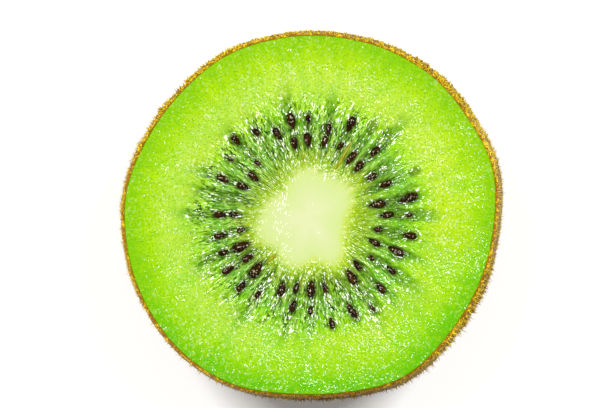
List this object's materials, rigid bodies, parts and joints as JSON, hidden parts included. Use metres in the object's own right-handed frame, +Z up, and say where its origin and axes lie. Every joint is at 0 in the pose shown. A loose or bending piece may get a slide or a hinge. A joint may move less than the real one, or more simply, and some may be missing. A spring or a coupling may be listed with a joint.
{
  "type": "kiwi fruit half",
  "caption": "Half of a green kiwi fruit, cut across, resting on its flattened stem end with the cut face up: fuzzy brown skin round green flesh, a ring of dark seeds and a pale core.",
  "frame": {"origin": "on the resting surface, under the middle of the fruit's outline", "axes": "+Z up, square to the cut face; +X to the right of the cut face seen from above, along its longer way across"},
  "size_m": [0.0522, 0.0508, 0.0373],
  "materials": {
    "flesh": "wet, translucent green fruit flesh, darker in the seed pockets and pale in the core",
    "skin": "thin matt brown peel with short golden-brown fuzz",
    "seed": "wet brown-black seed coat"
  },
  "bodies": {
    "root": {"kiwi_half": "flesh"}
  },
  "joints": []
}
